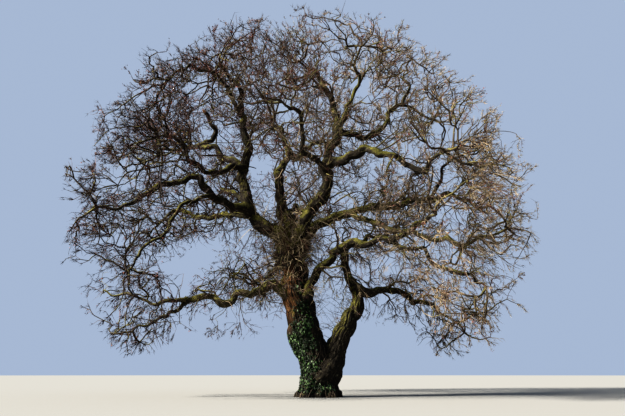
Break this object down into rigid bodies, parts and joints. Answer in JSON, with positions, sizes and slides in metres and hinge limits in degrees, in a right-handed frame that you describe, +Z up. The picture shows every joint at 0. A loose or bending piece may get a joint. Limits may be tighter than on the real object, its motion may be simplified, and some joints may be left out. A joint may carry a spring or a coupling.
{
  "type": "oak tree",
  "caption": "Open-grown oak in winter, rooted in the ground: a short trunk with a low fork, wide crooked boughs, a bare broad crown of twigs and ivy on the foot of the trunk.",
  "frame": {"origin": "middle of the flat cut under the trunk, at ground level", "axes": "+Z up the tree, -Y towards the side that the picture shows, +X to the right of that view, towards the second stem"},
  "size_m": [19.9105, 15.9591, 17.0507],
  "materials": {
    "bark": "rough furrowed bark, dark brown, with olive moss and lichen on its upper sides",
    "mossy_bark": "rough bark under yellow-green moss",
    "twigs": "matt grey-brown twigs with reddish buds, no leaves",
    "ivy": "dark green ivy leaves, slightly glossy"
  },
  "bodies": {
    "root": {"back_bough": "bark", "back_left_bough": "bark", "back_left_twigs": "twigs", "back_low_bough": "bark", "back_low_twigs": "twigs", "back_right_bough": "bark", "back_right_twigs": "twigs", "back_top_bough": "bark", "back_top_twigs": "twigs", "back_twigs": "twigs", "broken_snag": "bark", "centre_leader": "bark", "centre_leader_twigs": "twigs", "front_bough": "bark", "front_left_bough": "bark", "front_left_twigs": "twigs", "front_right_bough": "bark", "front_right_low_bough": "bark", "front_right_low_twigs": "twigs", "front_right_twigs": "twigs", "front_twigs": "twigs", "green_leader": "mossy_bark", "green_leader_twigs": "twigs", "ivy": "ivy", "left_bough": "bark", "left_crown_bough": "bark", "left_crown_twigs": "twigs", "left_hanging_bough": "bark", "left_hanging_twigs": "twigs", "left_leader": "bark", "left_leader_twigs": "twigs", "left_twigs": "twigs", "light_right_bough": "bark", "light_right_twigs": "twigs", "low_left_bough": "bark", "low_left_fork": "bark", "low_left_fork_twigs": "twigs", "low_left_twigs": "twigs", "low_right_bough": "bark", "low_right_twigs": "twigs", "main_leader": "bark", "main_leader_twigs": "twigs", "mossy_left_bough": "mossy_bark", "mossy_left_twigs": "twigs", "right_arch_bough": "bark", "right_arch_twigs": "twigs", "right_bough": "mossy_bark", "right_crown_bough": "bark", "right_crown_twigs": "twigs", "right_rise_bough": "bark", "right_rise_twigs": "twigs", "right_twigs": "twigs", "right_upper_bough": "bark", "right_upper_twigs": "twigs", "second_stem": "bark", "top_left_bough": "bark", "top_left_twigs": "twigs", "trunk": "bark", "upper_left_bough": "bark", "upper_left_twigs": "twigs"}
  },
  "joints": []
}
